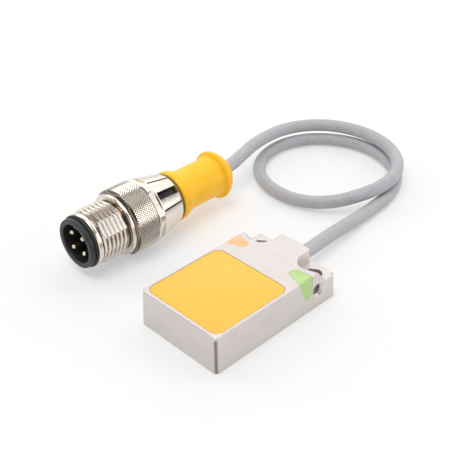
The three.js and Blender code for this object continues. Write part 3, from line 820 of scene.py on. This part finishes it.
def window_solid(out):
    """What the two outlines share, kept near the top and the side."""
    from_top = prism(window_top_outline(out), 2, TOP + 1)
    side = window_side_outline(out)
    from_side = loft([[(x, y, z) for y, z in side] for x in (0, HALF_WIDTH + 1)])
    combine(from_top, [from_side], "INTERSECT")
    behind = box((-1, 0, -1), (HALF_WIDTH - WINDOW_DEPTH_SIDE - out, HALF_LENGTH,
                               TOP - WINDOW_DEPTH_TOP - out))
    return combine(from_top, [behind])


def make_housing():
    """The metal shell: the block less its shelves, holes, bays, and room for the plastic."""
    shell = block()
    side_face = HALF_WIDTH - DRAFT * SIDE_HOLE_Z
    side_profile = [(0, -SIDE_HOLE_DEPTH), (SIDE_HOLE, -SIDE_HOLE_DEPTH + 0.4),
                    (SIDE_HOLE, SIDE_HOLE - SIDE_HOLE_MOUTH), (SIDE_HOLE_MOUTH + 0.4, 0.4),
                    (0, 0.4)]
    side_hole = bore(side_profile, (side_face, SIDE_HOLE_Y, SIDE_HOLE_Z), (1, 0, 0))
    screw_hole = bore([(0, -1), (SCREW_HOLE, -1), (SCREW_HOLE, SHELF - 0.12),
                       (SCREW_HOLE + 0.3, SHELF + 0.18), (0, SHELF + 0.18)],
                      (SCREW_X, SCREW_Y, 0), (0, 0, 1), 48)
    exit_bore = bore([(0, 0), (BUSH_RADIUS + 0.06, 0), (BUSH_RADIUS + 0.06, 4), (0, 4)],
                     (0, BUSH_LOW.y - 0.6, EXIT_Z), (0, 1, 0), 48)
    combine(shell, both_sides(shelf_pocket()))
    combine(shell, both_sides(shelf_rim()))
    combine(shell, [*both_sides(side_hole), *both_sides(screw_hole), exit_bore])
    cap_hole = prism(rounded(CAP_LOW.x - CAP_GROOVE, CAP_HIGH.x + CAP_GROOVE,
                             CAP_LOW.y - CAP_GROOVE, CAP_HIGH.y + CAP_GROOVE,
                             CAP_CORNER + CAP_GROOVE), TOP - CAP_THICK, TOP + 1)
    bays = [  # for the coil, the board and the cable's cores
        box((-8.5, -14.4, 1.0), (8.5, 2.5, TOP - 0.5)),
        box((-7.6, 2.0, 1.0), (7.6, 8.4, 6.4)),
        box((-2.9, 7.9, 1.2), (2.9, BUSH_LOW.y - 0.1, 6.4)),
    ]
    combine(shell, [cap_hole, *bays, *both_sides(window_solid(0.0))])
    return finish_piece(shell, "housing_shell", "sensor", "housing_metal", "housing")


make_housing()


def make_cap():
    edge = 0.07
    levels = [(TOP - CAP_THICK + 0.02, 0), (TOP - edge, 0), (TOP - edge * 0.3, edge * 0.3),
              (TOP, edge)]
    rings = []
    for z, inset in levels:
        outline = rounded(CAP_LOW.x + inset, CAP_HIGH.x - inset, CAP_LOW.y + inset,
                          CAP_HIGH.y - inset, CAP_CORNER - inset, 16)
        rings.append([(x, y, z) for x, y in outline])
    return finish_piece(loft(rings), "active_face", "sensor", "face_plastic",
                        "active_face_cap")


make_cap()


def make_window(name, slot, node, mirror):
    """A light guide a little smaller than its opening, just under the housing's skin."""
    guide = window_solid(-0.05)
    combine(guide, [block(-0.01)], "INTERSECT")
    if mirror:
        flipped = mirrored(guide)
        drop(guide)
        guide = flipped
    return finish_piece(guide, name, "sensor", slot, node)


make_window("green_indicator", "green_window", "light_guide_green", False)
make_window("amber_indicator", "amber_window", "light_guide_amber", True)


def make_bush():
    """The rubber bush round the cable, stepped at the rear."""
    inner = CABLE_RADIUS + 0.1
    lip = BUSH_RADIUS - 0.25
    front = BUSH_LOW.y
    rear = BUSH_HIGH.y
    profile = [(inner, front), (BUSH_RADIUS, front), (BUSH_RADIUS, rear - 0.6),
               (lip, rear - 0.6), (lip, rear), (inner, rear)]
    bush = turned(softened(profile, 0.12), on_exit)
    return finish_piece(bush, "exit_bush", "sensor", "black_rubber", "cable_bush")


make_bush()

# ------------------------------------------------------------------ plug

FLAT_PITCH = 60  # six flats round the thread, the nut's front edge and the shoulder
FLAT_ANGLE = 40  # of one flat's middle
THREAD_FLAT = 5.7  # the flats' distances from the axis
NUT_FLAT = 6.8
SHOULDER_FLAT = 6.6


def off_middle(angle, pitch):
    """Degrees from the nearest flat's middle, counting one flat every pitch degrees."""
    return (angle - FLAT_ANGLE + pitch / 2) % pitch - pitch / 2


def below_flats(angle, radius, distance):
    """The radius left after six flats have been cut at a distance from the axis."""
    return min(radius, distance / math.cos(math.radians(off_middle(angle, FLAT_PITCH))))


def grid(rows, columns, place, name):
    """A closed skin round an axis; each row is a function of angle to (radius, along)."""
    points = []
    for i in range(columns):
        angle = 360 * i / columns
        points.extend(place(angle, *row(angle)) for row in rows)
    made = raw(name, points, skin_faces(columns, len(rows)))
    tidy(made)
    return made


SLEEVE_START = span("coupling_screw")[0].y - PLUG_FRONT
RIM_RADIUS = 5.75
RIM_END = 2.8
THREAD_START = 3.1
THREAD_END = 9.4
PITCH = 1.0
CREST = 6.0
ROOT = 5.42
SLEEVE_BORE = 5.1
SLEEVE_COLUMNS = 240
LEAD_SLOPE = 1.1  # how fast the thread grows out of its first turn, per millimetre
TAIL_SLOPE = 1.4
FILLED_HALF = 18.0  # degrees to either side of a filled flat's middle
FILLED_RIPPLE = 0.016  # what is left of the thread on a filled flat
# One turn of the thread's form, as (share of the pitch, height from root to crest).
THREAD_FORM = [(0.0, 0.0), (0.08, 0.04), (0.36, 0.90), (0.42, 1.0), (0.50, 1.0), (0.56, 0.90),
               (0.84, 0.04), (0.92, 0.0)]


def thread_rows():
    """Rows that climb one pitch per turn, so the ridges run as a true helix."""
    rows = []
    first = math.floor(THREAD_START / PITCH) - 2
    last = math.ceil(THREAD_END / PITCH) + 1
    for turn in range(first, last):
        for share, height in THREAD_FORM:
            rows.append((turn + share, height))
    return rows


def thread_point(angle, turn, height):
    """Radius and place along the plug of a point on the thread.

    Six flats are cut across the thread, and two opposite ones are filled almost smooth.
    """
    along = PITCH * (turn + angle / 360)
    radius = ROOT + (CREST - ROOT) * height
    radius = below_flats(angle, radius, THREAD_FLAT)
    off = off_middle(angle, 180)
    if abs(off) < FILLED_HALF and THREAD_START + 0.3 < along < THREAD_END - 0.3:
        ripple = FILLED_RIPPLE * (height - 1)
        radius = THREAD_FLAT / math.cos(math.radians(off)) + ripple
    lead = ROOT - 0.05 + max(along - THREAD_START, 0) * LEAD_SLOPE
    tail = ROOT + max(THREAD_END - along, 0) * TAIL_SLOPE
    radius = max(min(radius, lead, tail), ROOT - 0.1)
    return radius, min(max(along, THREAD_START), THREAD_END)


def make_coupling_screw():
    helix = thread_rows()
    collar_start = 9.7
    collar = 6.75
    collar_end = NUT_START - 0.1
    end = NUT_END - 0.2
    rest = softened([(ROOT - 0.1, THREAD_END + 0.05), (ROOT - 0.1, collar_start),
                     (collar - 0.15, collar_start), (collar, collar_start + 0.2),
                     (collar, collar_end), (6.25, collar_end),
                     (6.25, end), (SLEEVE_BORE, end), (SLEEVE_BORE, SLEEVE_START),
                     (RIM_RADIUS - 0.2, SLEEVE_START), (RIM_RADIUS, SLEEVE_START + 0.2),
                     (RIM_RADIUS, RIM_END), (ROOT - 0.1, RIM_END + 0.2),
                     (ROOT - 0.1, THREAD_START - 0.02)], 0.09)
    points = []
    for i in range(SLEEVE_COLUMNS):
        angle = 360 * i / SLEEVE_COLUMNS
        points.extend(on_plug(angle, *thread_point(angle, turn, height))
                      for turn, height in helix)
        points.extend(on_plug(angle, radius, along) for radius, along in rest)

    def partner(row, at_seam):
        """At the seam, a row of the helix meets the row that is one turn on."""
        if at_seam and row < len(helix):
            return min(row + len(THREAD_FORM), len(helix) - 1)
        return row

    faces = skin_faces(SLEEVE_COLUMNS, len(helix) + len(rest), partner)
    screw = raw("coupling_screw", points, faces)
    tidy(screw)
    return finish_piece(screw, "threaded_sleeve", "coupling", "plug_metal", "coupling_screw",
                        flat_angle=28)


make_coupling_screw()

KNURL_AROUND = 76  # diamonds round the nut
KNURL_PITCH = 0.64  # a diamond's length along it
KNURL_DEPTH = 0.16
KNURL_SLOPES = 0.72  # share of a diamond that slopes; the rest is its flat tip


def knurl_height(around, along):
    """0 in the crossing grooves, 1 on the flat tips of the diamonds."""
    u = (around + along) % 1
    v = (around - along) % 1
    ridge = min(u, 1 - u, v, 1 - v) * 2
    return min(ridge / KNURL_SLOPES, 1.0)


def make_nut():
    chamfer = 0.32
    flats_length = 0.65
    bore_radius = 6.35
    fine = 6  # rows and columns of the mesh to a diamond
    columns = KNURL_AROUND * fine
    rows = round((NUT_END - NUT_START) / KNURL_PITCH * fine)
    front = NUT_START
    skin = []
    for k in range(rows + 1):
        along = front + (NUT_END - front) * k / rows

        def row(angle, along=along):
            height = knurl_height(angle / 360 * KNURL_AROUND, (along - front) / KNURL_PITCH)
            radius = NUT_RADIUS - KNURL_DEPTH * (1 - height)
            nose = NUT_RADIUS - 0.55 + (along - front)
            tail = NUT_RADIUS - chamfer + (NUT_END - along)
            radius = min(radius, nose, tail)
            if along < front + flats_length:
                radius = below_flats(angle, radius, NUT_FLAT)
            return radius, along

        skin.append(row)
    skin.append(lambda angle: (bore_radius, NUT_END))
    skin.append(lambda angle: (bore_radius, front))
    nut = grid(skin, columns, on_plug, "nut")
    return finish_piece(nut, "knurled_ring", "coupling", "plug_metal", "knurled_nut",
                        flat_angle=18, skin="knurl_metal")


make_nut()

SLOTS = 6
SLOT_ANGLE = 20
SLOT_START = 18.3
SLOT_HALF = 0.19
WINDOW_ANGLE = 48
WINDOW_HALF = 0.85


def radial_box(angle, half, inner, outer, start, end):
    """A box that stands off the plug's axis at an angle, for slots and windows."""
    t = math.radians(angle)
    out = Vector((math.cos(t), 0, math.sin(t)))
    side = Vector((-math.sin(t), 0, math.cos(t)))
    centre = Vector((PLUG_X, PLUG_FRONT, PLUG_Z))
    made = box((-half, start, inner), (half, end, outer))
    turn = Matrix((side, Vector((0, 1, 0)), out)).transposed().to_4x4()
    made.data.transform(Matrix.Translation(centre) @ turn)
    if turn.determinant() < 0:
        made.data.flip_normals()
    return made


def make_rear_cone():
    shoulder = 7.2
    cone_start = 18.1
    start_radius = 7.0
    end_radius = 5.75
    inner = 5.9
    wall = 0.8
    shoulder_end = cone_start - 0.1
    shoulder_line = [(shoulder - 0.14, CONE_START), (shoulder, CONE_START + 0.12),
                     (shoulder, shoulder_end - 0.06), (shoulder - 0.06, shoulder_end)]
    rows = [lambda angle, r=r, a=a: (below_flats(angle, r, SHOULDER_FLAT), a)
            for r, a in shoulder_line]
    outer = [(start_radius, shoulder_end + 0.02)]
    steps = 22
    for i in range(steps + 1):
        t = i / steps
        outer.append((start_radius + (end_radius - start_radius) * t,
                      cone_start + (CONE_END - cone_start) * t))
    outer[-1] = (end_radius - 0.12, CONE_END)
    inside = [(end_radius - wall, CONE_END), (inner, cone_start + 0.6), (inner, CONE_START)]
    rows += [lambda angle, r=r, a=a: (r, a) for r, a in outer + inside]
    cone = grid(rows, 240, on_plug, "cone")
    openings = [(WINDOW_ANGLE, WINDOW_HALF)]
    openings += [(SLOT_ANGLE + 360 * slot / SLOTS, SLOT_HALF) for slot in range(SLOTS)]
    combine(cone, [radial_box(angle, half, 3, 9, SLOT_START, CONE_END + 1)
                   for angle, half in openings])
    return finish_piece(cone, "rear_sleeve", "coupling", "plug_metal", "rear_cone",
                        flat_angle=24, skin="sleeve_metal")


make_rear_cone()


def make_carrier():
    socket = 4.2
    rim = 5.35
    body = 4.85
    depth = 6.0
    length = 11.0
    shoulder = 1.15
    profile = softened([(0, depth), (socket, depth), (socket, 0.2), (socket + 0.15, 0),
                        (rim - 0.12, 0), (rim, 0.14), (rim, shoulder), (body, shoulder),
                        (body, length), (0, length)], 0.1)
    carrier = turned(profile, on_plug, 96, "carrier")
    key = box((PLUG_X - 0.6, PLUG_FRONT + 0.5, PLUG_Z + socket - 0.75),
              (PLUG_X + 0.6, PLUG_FRONT + depth + 0.3, PLUG_Z + socket + 0.3))
    combine(carrier, [key], "UNION")
    return finish_piece(carrier, "pin_carrier", "sensor", "black_plastic", "contact_carrier")


make_carrier()


def make_seal():
    inner, outer = 4.9, 5.65
    start, end = 1.2, 1.75
    profile = [(inner, start), (outer, start), (outer, end), (inner, end)]
    seal = turned(softened(profile, 0.18, 4), on_plug, 96, "seal")
    return finish_piece(seal, "face_seal", "sensor", "black_rubber", "carrier_seal")


make_seal()


def make_pins():
    radius = 0.5  # of the pin and of its round tip
    collar = 0.68
    for index in range(1, 5):
        name = f"contact_pin_{index}"
        low, high = span(name)
        x = (low.x + high.x) / 2
        z = (low.z + high.z) / 2
        length = high.y - low.y
        profile = [(0, 0)]
        for degrees in range(15, 91, 15):
            t = math.radians(degrees)
            profile.append((radius * math.sin(t), radius * (1 - math.cos(t))))
        profile += [(radius, length - 0.9), (collar, length - 0.8), (collar, length),
                    (0, length)]

        def place(angle, r, a, x=x, z=z, tip=low.y):
            t = math.radians(angle)
            return (x + r * math.cos(t), tip + a, z + r * math.sin(t))

        pin = turned(profile, place, 32, name)
        finish_piece(pin, f"pin_{index}", "sensor", "contact_gold", name)


make_pins()

# The grip's outer line: set-back lip, front ring, waist, bead and domed end, as
# (radius, along).
GRIP_LINE = [(4.9, 24.27), (5.02, 24.36), (5.06, 24.6), (5.14, 24.82), (5.44, 24.98),
             (5.6, 25.25), (5.6, 26.1), (5.36, 26.9), (4.98, 27.7), (4.7, 28.8), (4.6, 31.0),
             (4.58, 33.5), (4.6, 36.2), (4.68, 37.1), (4.9, 37.5), (5.28, 37.66), (5.5, 37.8),
             (5.58, 38.05), (5.54, 38.4), (5.3, 38.95), (4.75, 39.65), (4.0, 40.4),
             (3.2, 41.1), (2.5, 41.55), (2.1, 41.72)]


def make_grip():
    line = through([(r, a, 0) for r, a in GRIP_LINE], 5)
    outer = [(p.x, p.y) for p in line]
    inner = CABLE_RADIUS + 0.12
    profile = outer + [(inner, GRIP_END), (inner, 31.1), (4.05, 28.8), (4.05, GRIP_START)]
    grip = turned(profile, on_plug, 96, "grip")
    return finish_piece(grip, "soft_grip", "sensor", "grip_plastic", "plug_grip", flat_angle=50)


make_grip()

# ------------------------------------------------------------------ pieces kept from the frame

SLOT_OF = {row["node"]: row["material_slot"] for row in frame["record"]["subparts"]}
for node, thing in frame["nodes"].items():
    if not thing.hide_render:
        thing.data.materials.clear()
        thing.data.materials.append(MATERIALS[SLOT_OF[node]])

# ------------------------------------------------------------------ floor and light


def make_floor():
    """A pale floor that gives off a little light, which keeps the shadows faint."""
    side = 3.0
    gap = 0.05 * MM
    mesh = bpy.data.meshes.new("floor")
    mesh.from_pydata([(-side, -side, 0), (side, -side, 0), (side, side, 0), (-side, side, 0)],
                     [], [(0, 1, 2, 3)])
    floor = bpy.data.objects.new("floor", mesh)
    floor.location.z = -gap
    bpy.context.scene.collection.objects.link(floor)
    p = Paint("floor")
    p.color(p.tones(p.noise(60, 2), (0.46, 0.46, 0.46), (0.48, 0.48, 0.48)))
    p.rough(p.spread(p.noise(5, 2), 0.75, 0.85))
    p.surface.inputs["Emission Color"].default_value = (1, 1, 1, 1)
    p.surface.inputs["Emission Strength"].default_value = 0.40
    mesh.materials.append(p.material)


make_floor()

STAGE_MIDDLE = Vector((-0.012, 0.02, 0.005))
# Name, azimuth, elevation and distance from the middle of the object, width and height in
# metres, and watts. Azimuth 0 is -Y and 90 is +X.
SOFTBOXES = [
    ("back_softbox", -146, 44, 0.8, 1.2, 0.95, 3.95),
    ("side_softbox", 128, 19, 0.8, 0.5, 0.5, 1.15),
    ("right_softbox", 150, 46, 0.8, 0.35, 0.3, 0.4),
    ("left_softbox", -70, 32, 0.8, 0.5, 0.45, 1.3),
    ("top_softbox", 20, 72, 0.7, 0.5, 0.4, 2.9),
]


def make_softbox(name, azimuth, elevation, distance, width, height, watts):
    """A rectangular lamp that faces the middle of the object."""
    data = bpy.data.lights.new(name, "AREA")
    data.shape = "RECTANGLE"
    data.size = width
    data.size_y = height
    data.energy = watts
    lamp = bpy.data.objects.new(name, data)
    bpy.context.scene.collection.objects.link(lamp)
    away = outward(azimuth, elevation)
    lamp.location = STAGE_MIDDLE + away * distance
    lamp.rotation_mode = "QUATERNION"
    lamp.rotation_quaternion = away.to_track_quat("Z", "Y")


def make_world():
    """A sky that is bright at the horizon and dim overhead."""
    world = bpy.data.worlds.new("studio")
    bpy.context.scene.world = world
    world.use_nodes = True
    nodes = world.node_tree.nodes
    links = world.node_tree.links
    sky = nodes["Background"]
    place = nodes.new("ShaderNodeTexCoord")
    split = nodes.new("ShaderNodeSeparateXYZ")
    level = nodes.new("ShaderNodeMapRange")
    level.interpolation_type = "SMOOTHSTEP"
    for socket, number in (("From Min", 0.05), ("From Max", 0.45), ("To Min", 0.9),
                           ("To Max", 0.25)):
        level.inputs[socket].default_value = number
    sky.inputs["Color"].default_value = (1.0, 0.995, 0.99, 1)
    links.new(place.outputs["Generated"], split.inputs["Vector"])
    links.new(split.outputs["Z"], level.inputs["Value"])
    links.new(level.outputs["Result"], sky.inputs["Strength"])


make_world()
for softbox in SOFTBOXES:
    make_softbox(*softbox)
bpy.context.scene.view_settings.view_transform = "Standard"
